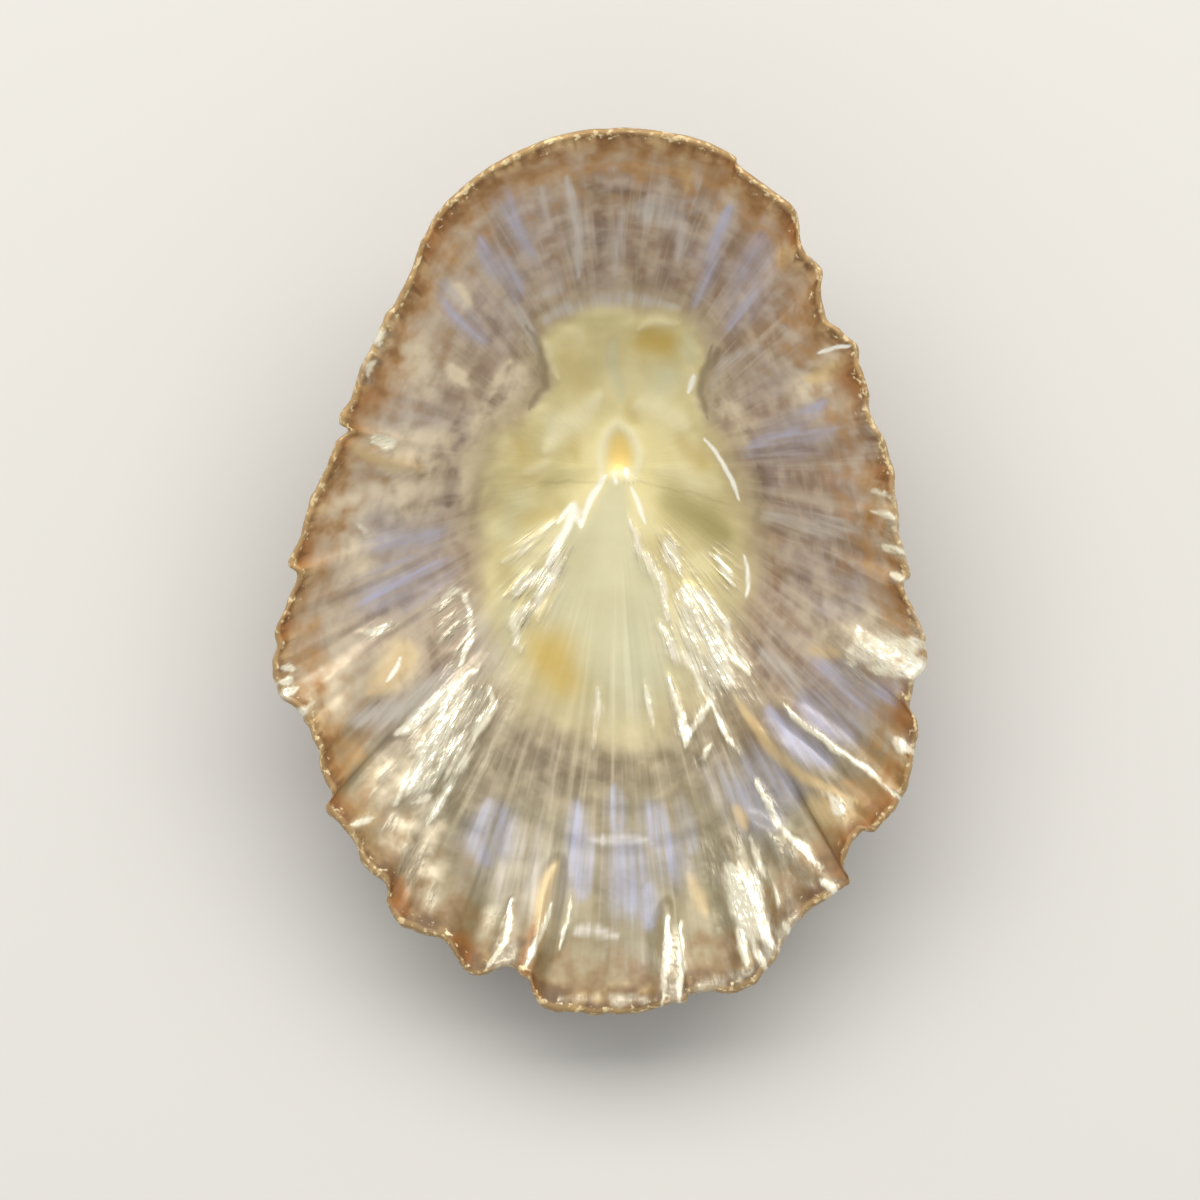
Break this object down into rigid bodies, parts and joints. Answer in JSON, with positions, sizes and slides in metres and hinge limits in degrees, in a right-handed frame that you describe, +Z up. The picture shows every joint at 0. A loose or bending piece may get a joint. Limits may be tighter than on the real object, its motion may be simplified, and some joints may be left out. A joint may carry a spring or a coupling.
{
  "type": "limpet shell",
  "caption": "Low oval limpet shell lying on its back: a thin ribbed cone with a ragged rusty margin and a pearly hollow that holds a cream callus round the apex.",
  "frame": {"origin": "middle of the worn flat spot on the crown, which the shell rests on", "axes": "+Z up out of the hollow, +Y towards the narrow front end, +X to the right seen from above"},
  "size_m": [0.0326, 0.0444, 0.014],
  "materials": {
    "shell": "pearly and polished inside, dull and ribbed outside"
  },
  "bodies": {
    "root": {"shell": "shell"}
  },
  "joints": []
}
